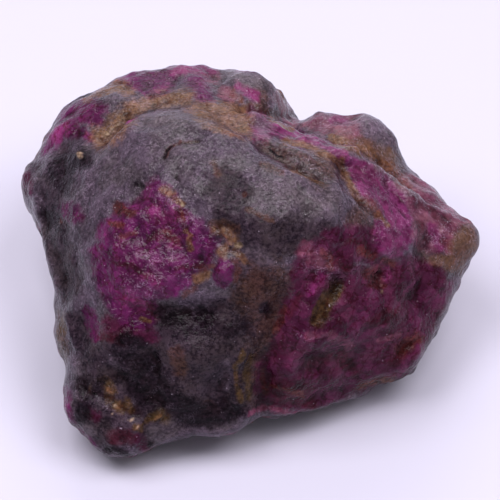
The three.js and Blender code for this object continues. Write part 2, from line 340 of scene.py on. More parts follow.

# %% [markdown]
# ## Maroon, pink and wine
# Maroon corundum covers the right face, pink the shoulder above it and the far lobe. Wine is the darkest
# red rock, and partly painted shade: it fills the dents of the face, the fine cracks of the patch and the
# hollow under it.

# %% Maroon and pink places
RIGHT_FACE = (
    (294, 262), (302, 247), (320, 238), (336, 246), (352, 238), (372, 234), (384, 256), (402, 260),
    (416, 254), (436, 262), (456, 282), (446, 306), (436, 330), (424, 356), (406, 380), (374, 390),
    (350, 394), (328, 405), (300, 411), (264, 407), (254, 392), (257, 364), (269, 346), (277, 328),
    (281, 308), (292, 292), (288, 278),
)
SHOULDER = (
    (400, 176), (420, 176), (441, 198), (456, 212), (466, 222), (454, 234), (450, 252), (431, 252),
    (418, 240), (410, 218), (402, 198),
)

mark("maroon", {
    "right face": area(9, *RIGHT_FACE),
    "face top": streak(8, (330, 236), (352, 232), (370, 236)),
    "under the patch": streak(9, (110, 324), (130, 330), (150, 336)),
    "left nose": streak(5, (26, 177), (25, 192)),
    "toe": streak(6, (140, 440), (146, 446)),
    "heel": streak(5, (86, 410), (96, 418)),
})
mark("pink", {
    "shoulder": area(8, *SHOULDER),
    "far lobe": streak(14, (294, 118), (312, 119), (330, 121), (347, 124)),
    "strip end": streak(10, (255, 116), (264, 131)),
    "before the knob": streak(5, (222, 92), (231, 97)),
    "rim dip": streak(5, (198, 75), (216, 80)),
    "knob end": streak(6, (279, 97), (285, 106), (292, 112)),
    "face brow": streak(8, (306, 252), (320, 262)),
    "face vein": streak(4, (308, 336), (330, 334), (350, 346)),
    "right face vein": streak(3, (380, 342), (398, 335)),
    "ridge foot": streak(5, (413, 233), (420, 246)),
    "front lip": streak(1.8, (246, 414), (264, 408), (300, 412)),
})

# %% Wine places
# Dark red rock, and partly painted shade in the dents and cracks
mark("wine", {
    "right dent": streak(6, (394, 362), (408, 350), (420, 338)),
    "left dent": streak(7, (312, 366), (326, 358)),
    "middle dent": streak(6, (342, 356), (356, 372)),
    "face middle": streak(6, (372, 322), (392, 314)),
    "face top": streak(4, (352, 240), (366, 248), (374, 258)),
    "above the lens": streak(5, (336, 262), (346, 268)),
    "seam top": streak(4, (300, 296), (290, 316)),
    "front pad": streak(12, (276, 390), (300, 392)),
    "front lip": streak(5, (268, 392), (284, 398), (312, 402)),
    "shoulder": streak(5, (412, 196), (432, 212), (446, 224)),
    "ridge foot": streak(4, (416, 224), (428, 240)),
    "patch brow": streak(4, (118, 206), (132, 212)),
    "patch edge": streak(3, (112, 224), (124, 226)),
    "patch crack": streak(4, (180, 212), (184, 230)),
    "patch middle": streak(4, (150, 240), (162, 232)),
    "patch left": streak(3, (114, 262), (132, 266), (146, 276)),
    "patch right": streak(3, (176, 268), (190, 268), (204, 266)),
    "patch foot": streak(4, (150, 306), (158, 318)),
    "under the patch": streak(5, (100, 334), (128, 340)),
    "black hollow": streak(7, (184, 318), (208, 320)),
    "foot": streak(8, (114, 436), (128, 438)),
})

# %% [markdown]
# ## Dark and black rock, and painted shade
# The lower front, the left flank and the crown's front edge are painted darker: partly darker rock, partly
# painted shade on faces that turn away from the lamps. Black is black rock around the foot and on the
# belly, and partly painted shade in the hollows, dents and a few pits and cracks, which are drawn with
# very narrow streaks.

# %% Dark places
LOWER_FRONT = (
    (96, 336), (150, 326), (212, 300), (252, 268), (292, 280), (280, 400), (240, 425), (170, 440),
    (96, 450), (70, 410),
)
CROWN_FRONT = (
    (203, 176), (222, 170), (240, 190), (248, 212), (292, 218), (336, 222), (372, 230), (330, 246),
    (296, 254), (250, 264), (234, 240), (214, 222),
)

# Darker rock, and painted shade on the lower front, the left flank and the crown's front
mark("dark_rock_and_shade", {
    "lower front": area(14, *LOWER_FRONT),
    "crown front": area(12, *CROWN_FRONT),
    "crown trough": streak(10, (226, 172), (246, 192)),
    "left flank": streak(12, (50, 186), (54, 214), (62, 250), (72, 290)),
    "waist": streak(12, (78, 320), (90, 362)),
    "lens": streak(5, (316, 318), (325, 305)),
})

# %% Black places
SHADED_HOLLOW = (
    (150, 306), (168, 302), (186, 308), (202, 304), (218, 312), (222, 326), (204, 334), (182, 332),
    (160, 330),
)
FRONT_SPOT = (
    (172, 386), (186, 396), (214, 401), (236, 401), (245, 409), (236, 422), (196, 428), (178, 419),
    (166, 406),
)
BELLY_SPOT = (
    (110, 350), (132, 352), (150, 348), (160, 372), (175, 390), (173, 408), (156, 414), (140, 406),
    (124, 390),
)
CHEEK_SPOT = (
    (46, 164), (58, 154), (74, 149), (90, 151), (93, 165), (80, 172), (72, 196), (57, 193),
    (48, 178),
)

# Black rock, and painted shade in the hollows, dents, pits and cracks
mark("black_rock_and_shade", {
    "hollow": area(10, *SHADED_HOLLOW),
    "front spot": area(7, *FRONT_SPOT),
    "belly spot": area(8, *BELLY_SPOT),
    "cheek spot": area(8, *CHEEK_SPOT),
    "left nose": streak(6, (44, 212), (54, 220)),
    "under the patch": streak(7, (126, 338), (140, 344)),
    "belly top": streak(7, (226, 332), (238, 329)),
    "belly dent": streak(5, (154, 357), (158, 371)),
    "belly edge": streak(3, (210, 427)),
    "seam spot": streak(6, (265, 308)),
    "heel": streak(8, (80, 382), (85, 396), (80, 416)),
    "foot top": streak(5, (94, 392), (102, 382)),
    "toe": streak(4, (106, 449), (128, 451)),
    "toe spot": streak(3, (149, 444)),
    "crust pit": streak(3, (231, 247)),
    "slab crack": streak(1.1, (270, 149), (277, 154), (283, 157)),
    "crown crack": streak(1.2, (164, 158), (167, 150), (173, 144)),
    "crown pit": streak(1.2, (283, 210)),
    "patch top pit": streak(2, (176, 178)),
    "patch top shade": streak(2.5, (134, 182), (142, 186)),
})

# %% [markdown]
# ## Brown and rust
# Brown rock runs down the seam between the belly and the right face and fills the hollow behind the
# sharp ridge. Rust is thinner and follows the cracks, the rim of the patch and the ochre spot on the
# right face.

# %% Brown places
SEAM = (
    (252, 258), (276, 262), (294, 276), (288, 300), (278, 330), (266, 352), (260, 402), (246, 402),
    (246, 366), (256, 340), (252, 318), (234, 300), (240, 276),
)
FAR_HOLLOW = (
    (318, 126), (340, 130), (366, 134), (388, 144), (401, 168), (406, 192), (392, 185), (373, 168),
    (352, 155),
)

mark("brown", {
    "seam": area(20, *SEAM),
    "seam top": streak(8, (294, 274), (286, 294)),
    "far hollow": area(12, *FAR_HOLLOW),
    "slab": streak(9, (284, 148), (306, 156), (330, 170)),
    "slab crease": streak(6, (266, 146), (284, 160), (304, 173), (322, 184)),
    "notch": streak(6, (258, 92), (264, 102), (257, 106)),
    "crown crack": streak(1.6, (182, 141), (197, 143)),
    "crown speck": streak(3, (263, 165), (281, 173)),
    "crown vein": streak(3, (250, 210), (262, 216), (273, 219)),
    "crown trough": streak(4, (214, 162), (217, 173)),
    "crust rim": streak(4, (212, 226), (224, 222), (238, 230)),
    "ridge foot": streak(8, (365, 206), (352, 222), (370, 228)),
    "face top": streak(7, (352, 246), (368, 251)),
    "under the tip": streak(10, (428, 260), (446, 260), (460, 268)),
    "right edge": streak(7, (436, 292), (430, 314)),
    "belly": streak(6, (176, 350), (182, 372)),
    "front spot": streak(4, (205, 404), (218, 408)),
})

# %% Rust places
mark("rust", {
    "seam high": streak(3, (284, 308), (281, 318), (275, 330)),
    "seam low": streak(2.5, (262, 372), (263, 384), (266, 396)),
    "crown crack": streak(1.6, (166, 156), (168, 149), (174, 143), (182, 140)),
    "crown speck": streak(2.5, (244, 194)),
    "plateau": streak(3, (225, 133), (240, 136), (250, 138)),
    "knob": streak(3.5, (233, 94), (240, 100)),
    "far hollow": streak(8, (380, 163), (393, 173), (405, 186)),
    "ridge foot": streak(5, (367, 200), (374, 208), (378, 213)),
    "left flank": streak(3, (60, 222)),
    "patch brow": streak(5, (118, 208), (131, 213)),
    "patch edge": streak(4, (112, 223), (122, 226)),
    "patch left": streak(2.5, (120, 236), (136, 234)),
    "patch middle": streak(4, (168, 234), (176, 240)),
    "patch crack": streak(2, (181, 209), (184, 222)),
    "patch ledge": streak(3.5, (186, 296), (192, 291), (196, 285)),
    "patch right": streak(3, (200, 270), (212, 266)),
    "crust": streak(4, (221, 236), (228, 243)),
    "bead": streak(3, (233, 261), (239, 270), (237, 281)),
    "face brow": streak(3, (322, 252), (331, 257), (328, 268)),
    "face top": streak(4, (360, 250), (370, 256)),
    "face top right": streak(4, (383, 261), (393, 264)),
    "ochre spot": streak(7, (370, 274), (378, 271), (377, 282)),
    "ochre foot": streak(4, (371, 285), (384, 287)),
    "right dent": streak(6, (401, 350), (411, 342), (418, 337)),
    "shoulder": streak(4, (444, 241), (452, 247)),
    "front lip": streak(2.5, (268, 388), (286, 390), (302, 394)),
    "front edge": streak(4, (360, 387), (392, 380)),
})

# %% [markdown]
# ## Tan crust and buff and olive rock
# Tan crust fills the grooves behind the crown, sits in lumps at the foot and rims the purple patch. Buff
# is worn rock at the right tip and around the crust. Olive rock shows in a lens on the right face, along
# the seam and in the crust of the foot.

# %% Tan places
PLATEAU = (
    (180, 106), (200, 102), (226, 100), (246, 105), (252, 120), (250, 137), (234, 138), (214, 133),
    (198, 122),
)

mark("tan", {
    "plateau": area(8, *PLATEAU),
    "plateau back": streak(4, (232, 114), (244, 110)),
    "groove": streak(8, (128, 111), (145, 103), (165, 98), (188, 97)),
    "left groove": streak(11, (100, 137), (110, 132), (120, 124), (126, 118)),
    "rim": streak(6, (116, 84), (128, 90)),
    "left rim": streak(5, (86, 96), (100, 91), (112, 87)),
    "beside the strip": streak(4, (273, 119), (282, 126), (290, 129)),
    "far hollow": streak(4, (358, 146), (374, 155), (392, 169)),
    "far hollow left": streak(4, (330, 136), (346, 144)),
    "slab rim": streak(2.5, (285, 141), (305, 147), (325, 156), (338, 161)),
    "slab end": streak(3, (340, 159), (344, 172), (350, 185), (362, 200)),
    "slab crease": streak(3, (293, 170), (306, 177)),
    "slab crease end": streak(1.5, (306, 177), (323, 184)),
    "ridge foot": streak(3, (378, 214), (387, 223)),
    "crust": streak(5.5, (217, 231), (226, 233), (232, 240), (226, 248), (222, 254)),
    "under the crust": streak(4, (236, 252), (243, 260)),
    "patch top": streak(4, (163, 192), (172, 193)),
    "patch top right": streak(3.5, (177, 198), (183, 203)),
    "patch spot": streak(3, (187, 240), (191, 247)),
    "above the patch spot": streak(2, (184, 233), (190, 236)),
    "patch ledge": streak(4, (194, 280), (201, 277), (208, 275)),
    "under the patch": streak(2.5, (143, 320), (150, 322)),
    "foot top": streak(1.6, (107, 388), (111, 395)),
    "foot middle": streak(1.8, (118, 405), (121, 407)),
    "foot right": streak(1.8, (156, 418), (162, 415)),
    "toe": streak(1.8, (138, 428), (141, 429)),
    "front edge": streak(2.5, (360, 387), (374, 384), (390, 381)),
})

# %% Buff and olive places
RIGHT_TIP = (
    (456, 228), (466, 221), (474, 229), (479, 245), (476, 258), (462, 267), (450, 258), (448, 240),
)
LENS = (
    (338, 284), (344, 287), (338, 300), (330, 314), (322, 325), (313, 327), (311, 320), (316, 308),
    (324, 296), (331, 289),
)

mark("buff", {
    "right tip": area(10, *RIGHT_TIP),
    "under the tip": streak(7, (438, 260), (456, 264)),
    "far hollow": streak(10, (340, 138), (364, 147), (388, 158)),
    "plateau": streak(6, (226, 106), (246, 112)),
    "left groove": streak(7, (104, 134), (122, 124)),
    "notch": streak(6, (252, 108), (274, 116)),
    "knob end": streak(5, (280, 98), (290, 108)),
})
mark("olive", {
    "lens": area(3, *LENS),
    "lens middle": streak(7, (336, 290), (318, 320)),
    "left edge": streak(6, (61, 315), (60, 335), (63, 358)),
    "seam": streak(4, (250, 356), (247, 374), (249, 398)),
    "seam left": streak(2.5, (241, 350), (235, 364), (236, 380), (238, 400)),
    "foot top": streak(5, (103, 383), (112, 392), (108, 400)),
    "heel": streak(3, (91, 388), (86, 395)),
    "foot left": streak(4, (115, 404), (123, 409)),
    "foot middle": streak(4.5, (127, 403), (131, 409)),
    "foot right": streak(4.5, (149, 421), (160, 412), (167, 420)),
    "toe": streak(4, (137, 427), (142, 430)),
})

# %% [markdown]
# ## Cream crystals, pale rock and painted sheen
# Cream crystals are small and few. The pale marks are mostly painted highlight: sheen on the crown, the
# knob, the lobes and the belly, and painted light along the crests, the right edge and the front edges; a
# little of them is pale rock. Sparkle is no colour of its own: it says where painted glints on broken
# crystal faces are thick, and the finish later turns it into painted flecks.

# %% Cream and pale places
mark("cream", {
    "cheek crystal": streak(2.5, (81, 158)),
    "crust": streak(3.5, (239, 245)),
    "patch top": streak(2, (179, 201), (182, 203)),
    "slab crease": streak(1.8, (300, 175), (306, 178)),
    "far lobe": streak(3, (303, 114), (316, 111)),
    "left groove": streak(4, (105, 135), (113, 129)),
    "left groove end": streak(3, (119, 124), (124, 119)),
    # A painted glint on the right face
    "face glint": streak(1.5, (383, 293)),
    "foot left": streak(1.5, (116, 405)),
    "foot front": streak(1.5, (112, 412), (121, 414)),
    "foot right": streak(1.8, (129, 420), (134, 418)),
    "toe": streak(1.5, (138, 428)),
})
# Mostly painted highlight and sheen, a little pale rock
mark("pale_rock_and_sheen", {
    "crown sheen": streak(11, (294, 199), (310, 204), (326, 206)),
    "crown back": streak(10, (150, 118), (180, 114)),
    "crown foot": streak(7, (250, 251), (258, 255), (266, 258)),
    "left groove": streak(5, (104, 134), (118, 126)),
    "knob": streak(8, (236, 75), (256, 80)),
    "knob end": streak(5, (279, 95), (288, 106)),
    "strip end": streak(7, (256, 117), (264, 130)),
    "far lobe": streak(9, (366, 122), (384, 136)),
    "far lobe left": streak(5, (296, 112), (312, 109), (330, 111)),
    "ridge crest": streak(2.5, (350, 154), (373, 168), (393, 185), (407, 197)),
    "shoulder crest": streak(1.6, (404, 180), (419, 188), (434, 197)),
    "lower shoulder crest": streak(1.6, (402, 192), (426, 203), (449, 214)),
    "right edge": streak(3, (473, 262), (459, 285), (445, 308), (437, 325), (428, 346)),
    "face vein": streak(1.8, (354, 262), (368, 267)),
    "patch ledge": streak(4, (204, 289), (214, 291), (226, 293)),
    "belly lip": streak(4, (112, 361), (122, 366), (134, 373)),
    "belly": streak(4, (226, 360), (226, 388)),
    "heel": streak(5, (80, 425), (92, 432)),
    "foot right": streak(6, (154, 433), (166, 430), (174, 427)),
    "front edge left": streak(4, (150, 443), (175, 432), (200, 430), (243, 424)),
    "front edge": streak(2.5, (336, 399), (352, 394)),
})

# %% Sparkling places
# Sparkle marks where the painted glints are thickest
mark("sparkle", {
    "patch top": streak(10, (158, 184), (172, 204)),
    "patch right top": streak(7, (186, 226), (200, 221), (212, 230)),
    "patch right": streak(8, (206, 240), (212, 252)),
    "patch middle": streak(10, (140, 248), (154, 264), (164, 280)),
    "patch right middle": streak(10, (165, 256), (190, 266)),
    "patch low": streak(8, (131, 283), (150, 292)),
    "patch right low": streak(8, (172, 277), (188, 281)),
    "patch ledge": streak(8, (200, 286), (222, 294)),
    "face brow": streak(12, (304, 250), (322, 268)),
    "above the lens": streak(7, (330, 268), (337, 278)),
    "under the lens": streak(6, (308, 332), (318, 342)),
    "face left": streak(5, (296, 332), (304, 338)),
    "ridge": streak(8, (384, 214), (390, 236), (396, 248)),
    "ridge crest": streak(5, (350, 157), (373, 170), (393, 187), (407, 199)),
    "shoulder crest": streak(7, (404, 186), (430, 204), (446, 214)),
    "shoulder": streak(8, (434, 228), (446, 244)),
    "rim": streak(6, (176, 68), (194, 67), (212, 70)),
    "far lobe": streak(9, (296, 116), (314, 118), (334, 122)),
    "left cheek": streak(10, (60, 168), (84, 160)),
    "belly dent": streak(8, (152, 358), (170, 372)),
    "foot": streak(7, (84, 392), (104, 402)),
})

# %% [markdown]
# ## The hidden sides
# The picture does not show the back, the far left or the underside, so the same minerals are laid there
# in patches of a solid noise, in about the same shares as on the seen side. Solid noise has no seams and
# no poles, which a pattern wrapped around the stone would have.

# %% Minerals of the hidden sides
HIDDEN_SOFT = 0.22
FINER_PATCHES, FINER_SHARE = 3, 0.4
# Each mineral has a patch size in mm, a seed of its own, and the level that the noise must pass
HIDDEN_PATCHES = {
    "dark_rock_and_shade": (9.0, 30, 0.06), "brown": (6.5, 17, 0.24), "maroon": (8.0, 8, 0.10), "olive": (4.6, 28, 0.40),
    "buff": (5.0, 47, 0.36), "pink": (4.0, 11, 0.36), "purple": (7.2, 3, 0.14), "magenta": (4.6, 5, 0.34),
    "wine": (3.4, 44, 0.36), "pale_rock_and_sheen": (2.6, 35, 0.34), "tan": (3.2, 24, 0.40), "rust": (2.4, 21, 0.42),
    "black_rock_and_shade": (5.6, 14, 0.34), "cream": (0.9, 31, 0.72), "sparkle": (3.0, 41, 0.15),
}

minerals = {}
for mineral, (size, seed, level) in HIDDEN_PATCHES.items():
    noise_patches = solid_noise(size, seed) + FINER_SHARE * solid_noise(size / FINER_PATCHES, seed + 1)
    hidden = np.clip(0.5 + (noise_patches - level) / (2 * HIDDEN_SOFT), 0, 1)
    minerals[mineral] = seen * seen_minerals[mineral] + (1 - seen) * hidden
    print(mineral, round(100 * (minerals[mineral] > 0.5).mean()), "percent")

# %% [markdown]
# ## Fine relief, placed one by one
# Cracks, lips and small pits are too narrow for the imported solid. A stroke is a soft line in the picture
# with a half width in pixels and a rise in mm, below zero for a crack. The underside stays out, so that
# the stone keeps its flat rest. Strokes on the rim are kept apart, because they must reach just behind
# the outline.

# %% Strokes
REST_FROM, REST_FULLY = 0.1 * MM, 0.8 * MM


def stroke(half_width, rise, *points):
    return rise * MM * np.exp(-((line_distance(points) / half_width) ** 2))


off_rest = smooth_step(REST_FROM, REST_FULLY, place[:, 2])
seen_strokes = {
    "crown crack": stroke(2.5, -0.16, (164, 158), (168, 148), (177, 141), (197, 143)),
    "crown pit": stroke(3, -0.10, (283, 210)),
    "crown speck": stroke(3, -0.10, (244, 194)),
    "crown trough": stroke(4, -0.12, (216, 168)),
    "groove": stroke(7, -0.22, (128, 114), (165, 101), (188, 99)),
    "left groove": stroke(7, -0.22, (100, 138), (124, 120)),
    "notch groove": stroke(4, -0.30, (294, 113), (276, 114), (254, 108)),
    "slab crease": stroke(8, -0.22, (264, 146), (281, 157), (300, 170), (320, 181)),
    "slab lip": stroke(6, 0.22, (286, 172), (304, 181), (324, 189)),
    "slab end": stroke(4, -0.14, (338, 162), (346, 178), (362, 201), (374, 212)),
    "strip": stroke(5, 0.35, (254, 116), (270, 128), (300, 138), (344, 157)),
    "sharp ridge": stroke(5, 0.40, (345, 155), (373, 169), (392, 185), (412, 202)),
    "shoulder crest": stroke(3, 0.20, (404, 180), (419, 188), (434, 197)),
    "lower shoulder crest": stroke(3, 0.20, (402, 192), (426, 203), (449, 214)),
    "shoulder groove": stroke(3, -0.20, (403, 186), (422, 196), (440, 206)),
    "cheek crystal": stroke(5, 0.35, (81, 158)),
    "flank edge": stroke(4, 0.22, (36, 200), (45, 235), (55, 265), (64, 300), (76, 344)),
    "patch top pit": stroke(3, -0.12, (176, 178)),
    "crust rim": stroke(6, -0.12, (211, 225), (224, 223), (238, 230)),
    "crust": stroke(7, 0.35, (222, 236), (230, 244)),
    "bead": stroke(7, 0.40, (224, 272)),
    "belly dent": stroke(5, -0.25, (154, 358), (158, 371)),
    "belly lip": stroke(4, 0.22, (112, 361), (122, 366), (134, 373)),
    "seam": stroke(8, -0.10, (284, 302), (274, 332), (266, 368), (262, 404)),
    "seam ridge": stroke(6, 0.25, (240, 350), (234, 364), (237, 400)),
    "lens": stroke(8, -0.14, (337, 287), (328, 298), (315, 319)),
    "left dent": stroke(8, -0.16, (313, 363), (331, 363)),
    "middle dent": stroke(8, -0.16, (341, 358), (359, 370)),
    "right dent": stroke(7, -0.30, (402, 349), (417, 338)),
    "front lip": stroke(5, 0.30, (246, 416), (300, 412), (350, 394)),
    "foot crease": stroke(6, -0.35, (84, 388), (110, 400), (136, 412)),
    "foot left lump": stroke(5, 0.30, (116, 406)),
    "foot middle lump": stroke(5, 0.30, (130, 406)),
    "foot right lump": stroke(5, 0.30, (160, 416)),
    "toe lump": stroke(5, 0.30, (138, 428)),
}
rim_strokes = {
    "rim top": stroke(8, 0.15, (182, 66), (214, 69)),
    "knob end": stroke(6, 0.30, (276, 86), (285, 96)),
    "far lobe left": stroke(5, 0.30, (311, 111), (317, 110)),
    "far lobe corner": stroke(7, 0.25, (366, 118), (376, 122)),
}
print("strokes", len(seen_strokes) + len(rim_strokes))

# %% [markdown]
# ## Carving the strokes
# The strokes are weight painted on the skin and pushed out or in with two Displace modifiers, as a
# sculptor would with a crease brush. A seen stroke fades with the seen share. A rim stroke fades with
# how far the skin has turned away from the camera.

# %% Lips and cracks
RIM_FROM, RIM_FULLY = -0.9, -0.3
DEEPEST = 0.7 * MM
LEAST_WEIGHT = 0.01

relief = sum(seen_strokes.values()) * seen * off_rest
relief += sum(rim_strokes.values()) * smooth_step(RIM_FROM, RIM_FULLY, facing) * off_rest


def weight_paint(name, weights):
    group = skin.vertex_groups.new(name=name)
    for index in np.flatnonzero(weights > LEAST_WEIGHT):
        group.add([int(index)], float(weights[index]), "REPLACE")
    return name


def displace(group, strength, texture=None, middle=0.0):
    push = skin.modifiers.new(group, "DISPLACE")
    push.vertex_group = group
    push.strength = strength
    push.mid_level = middle
    push.texture = texture
    push.texture_coords = "LOCAL"
    bpy.ops.object.modifier_apply(modifier=push.name)


bpy.ops.object.select_all(action="DESELECT")
skin.select_set(True)
bpy.context.view_layer.objects.active = skin
displace(weight_paint("lips", np.clip(relief / DEEPEST, 0, 1)), DEEPEST)
displace(weight_paint("cracks", np.clip(-relief / DEEPEST, 0, 1)), -DEEPEST)
print("relief from", round(relief.min() / MM, 2), "to", round(relief.max() / MM, 2), "mm")

# %% [markdown]
# ## Lumps and grains
# The purple corundum is made of rounded crystals up to a millimetre across, crust and foot are rougher,
# and the grey rock is worn smooth with shallow swells. Displace modifiers with solid textures raise
# them, each weighted to the minerals that carry it. Bump alone would leave the outline smooth.

# %% Crystal lumps, swells and grains
LUMPY_MINERALS = ("purple", "maroon", "tan", "black_rock_and_shade", "rust", "magenta", "pink")
MAROON_CRYSTALS, TAN_CRYSTALS = 0.6, 0.5
CALM_ON_LUMPS = 0.6

lumpy = np.max([minerals[mineral] for mineral in LUMPY_MINERALS], axis=0)
crystalline = minerals["purple"] + MAROON_CRYSTALS * minerals["maroon"] + TAN_CRYSTALS * minerals["tan"]
# Each layer has its weights, height in mm, kind of texture, size in mm, detail and the grey that stays put
layers = {
    "swells": (off_rest, 0.50, "CLOUDS", 2.4, 1, 0.5),
    "crystals": (np.clip(crystalline, 0, 1) * off_rest, -0.20, "VORONOI", 1.6, None, 0.4),
    "crumbs": (lumpy * off_rest, 0.30, "CLOUDS", 0.9, 2, 0.5),
    "dimples": ((1 - CALM_ON_LUMPS * lumpy) * off_rest, 0.09, "CLOUDS", 0.6, 2, 0.5),
}
for layer, (weights, height, kind, size, detail, middle_grey) in layers.items():
    texture = bpy.data.textures.new(layer, kind)
    texture.noise_scale = size * MM
    if kind == "CLOUDS":
        texture.noise_depth = detail
    displace(weight_paint(layer, weights), height * MM, texture, middle_grey)
    print(layer, abs(height), "mm high,", size, "mm wide")

# %% [markdown]
# ## The rest face
# The layers stay off the underside, but points near its border may have been pushed a hair below the
# floor. They are selected and flattened onto z = 0 with a resize about the origin, so that the stone
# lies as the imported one.

# %% Rest face
REST_LEVEL = 0.02 * MM

bpy.ops.object.mode_set(mode="EDIT")
bpy.ops.mesh.select_all(action="DESELECT")
bpy.ops.object.mode_set(mode="OBJECT")
below = point_values(skin.data.vertices, "co")[:, 2] < REST_LEVEL
skin.data.vertices.foreach_set("select", below)
bpy.ops.object.mode_set(mode="EDIT")
bpy.ops.transform.resize(value=(1, 1, 0), center_override=(0, 0, 0))
bpy.ops.object.mode_set(mode="OBJECT")
skin.vertex_groups.clear()
print("rest face", int(below.sum()), "points at z = 0")

# %% [markdown]
# ## Stain, painted shade and wear
# Creases are darker, partly from the stain that gathers in them and partly as painted shade, and
# handling polishes the crests. How far a point lies below or above the mean of its neighbours says which
# it is. It is kept as an attribute, with one attribute for each mineral, because attributes stay with the
# mesh when the stone is turned or exported.

# %% Attributes
CREASE_STEPS = 12
CREASE_REACH = 0.10 * MM

carved = point_values(skin.data.vertices, "co")
carved_normal = point_values(skin.data.vertex_normals, "vector")
mean_place = np.stack([spread(carved[:, axis], CREASE_STEPS) for axis in range(3)], 1)
hollow = ((mean_place - carved) * carved_normal).sum(1)
minerals["crease"] = np.clip(0.5 + hollow / (2 * CREASE_REACH), 0, 1)
for mineral, values in minerals.items():
    kept = skin.data.attributes.new(mineral, "FLOAT", "POINT")
    kept.data.foreach_set("value", values.astype(np.float32))
print("attributes", ", ".join(sorted(minerals)))

# %% [markdown]
# ## The finish
# One material carries all minerals. It could be a node tree drawn by hand in the shader editor. Here
# small helpers add the nodes, so that each line below reads as one step. Patterns read Object
# coordinates, which follow the stone.

# %% Node helpers
finish = bpy.data.materials.new("sapphire in rock")
finish.use_nodes = True
tree = finish.node_tree
surface = tree.nodes["Principled BSDF"]
where = tree.nodes.new("ShaderNodeTexCoord").outputs["Object"]


def feed(socket, value):
    if isinstance(value, bpy.types.NodeSocket):
        tree.links.new(value, socket)
    else:
        socket.default_value = value


def math_node(operation, first, second):
    made = tree.nodes.new("ShaderNodeMath")
    made.operation = operation
    feed(made.inputs[0], first)
    feed(made.inputs[1], second)
    return made.outputs[0]


def ease(value, low, high, to_low=0.0, to_high=1.0):
    made = tree.nodes.new("ShaderNodeMapRange")
    made.interpolation_type = "SMOOTHSTEP"
    for socket, number in zip(made.inputs, (value, low, high, to_low, to_high)):
        feed(socket, number)
    return made.outputs[0]


def grain(size, detail, rough=0.6):
    made = tree.nodes.new("ShaderNodeTexNoise")
    feed(made.inputs["Vector"], where)
    made.inputs["Scale"].default_value = 1 / (size * MM)
    made.inputs["Detail"].default_value = detail
    made.inputs["Roughness"].default_value = rough
    return made.outputs["Fac"]


def mixed(first, second, share):
    return math_node("ADD", math_node("MULTIPLY", first, 1 - share), math_node("MULTIPLY", second, share))


def blend(factor, below_colour, above_colour, kind="MIX"):
    made = tree.nodes.new("ShaderNodeMix")
    made.data_type = "RGBA"
    made.blend_type = kind
    feed(made.inputs[0], factor)
    feed(made.inputs[6], below_colour)
    feed(made.inputs[7], above_colour)
    return made.outputs[2]


def stored(name):
    made = tree.nodes.new("ShaderNodeAttribute")
    made.attribute_name = name
    return made.outputs["Fac"]


print("helpers ready,", len(tree.nodes), "nodes")

# %% [markdown]
# ## Colours of the minerals
# Each mineral has a dark and a light tone that a grain mixes, and lies over the grey rock where its
# attribute, roughened by noise, passes one half. So the borders are as ragged as on the stone without
# any drawn edge. Rock is speckled finely, while the glassy corundum changes tone in broader patches.

# %% Grains
# Sizes in mm
FINE_GRAIN, MIDDLE_GRAIN, BROAD_GRAIN, RAGGED_GRAIN = 0.28, 1.1, 3.0, 0.6
ROCK_FINE, ROCK_BROAD, ROCK_RANGE = 0.6, 0.2, (0.39, 0.61)
GLASSY_FINE, GLASSY_BROAD, GLASSY_RANGE = 0.22, 0.3, (0.40, 0.60)

fine = grain(FINE_GRAIN, 2)
middle = grain(MIDDLE_GRAIN, 3)
broad = grain(BROAD_GRAIN, 2)
ragged = math_node("SUBTRACT", grain(RAGGED_GRAIN, 4, 0.65), 0.5)
tone = ease(mixed(mixed(middle, fine, ROCK_FINE), broad, ROCK_BROAD), *ROCK_RANGE)
glassy_tone = ease(mixed(mixed(middle, fine, GLASSY_FINE), broad, GLASSY_BROAD), *GLASSY_RANGE)
print("grains,", len(tree.nodes), "nodes")

# %% Mineral colours
GREY_ROCK = ((0.024, 0.017, 0.024, 1), (0.067, 0.051, 0.068, 1))
# Each mineral has a dark tone, a light tone and how fully it covers what lies under it
MINERAL_TONES = {
    # Dark rock tone, also used as painted shade
    "dark_rock_and_shade": ((0.007, 0.004, 0.007, 1), (0.034, 0.023, 0.029, 1), 0.90),
    "brown": ((0.018, 0.007, 0.005, 1), (0.066, 0.031, 0.022, 1), 0.75),
    "maroon": ((0.035, 0.004, 0.017, 1), (0.062, 0.011, 0.034, 1), 0.97),
    "olive": ((0.022, 0.012, 0.004, 1), (0.064, 0.036, 0.013, 1), 0.92),
    "buff": ((0.052, 0.025, 0.014, 1), (0.102, 0.052, 0.032, 1), 0.85),
    "pink": ((0.070, 0.012, 0.032, 1), (0.152, 0.050, 0.080, 1), 0.85),
    "purple": ((0.040, 0.003, 0.028, 1), (0.084, 0.009, 0.058, 1), 1.0),
    "magenta": ((0.054, 0.003, 0.029, 1), (0.132, 0.018, 0.079, 1), 0.95),
    # Wine tone, partly used as painted shade in dents and cracks
    "wine": ((0.016, 0.001, 0.003, 1), (0.044, 0.005, 0.012, 1), 0.75),
    # Pale tone, used mostly as painted highlight and sheen
    "pale_rock_and_sheen": ((0.048, 0.037, 0.046, 1), (0.117, 0.094, 0.113, 1), 0.55),
    "tan": ((0.062, 0.028, 0.012, 1), (0.146, 0.076, 0.035, 1), 0.82),
    "rust": ((0.040, 0.008, 0.005, 1), (0.088, 0.023, 0.013, 1), 0.58),
    # Black rock tone, also used as painted shade
    "black_rock_and_shade": ((0.002, 0.001, 0.002, 1), (0.012, 0.007, 0.011, 1), 0.95),
    "cream": ((0.087, 0.057, 0.030, 1), (0.261, 0.196, 0.131, 1), 0.9),
}
GLASSY_MINERALS = ("maroon", "pink", "purple", "magenta", "wine")
RAGGED_REACH = 1.0
EDGE = 0.30

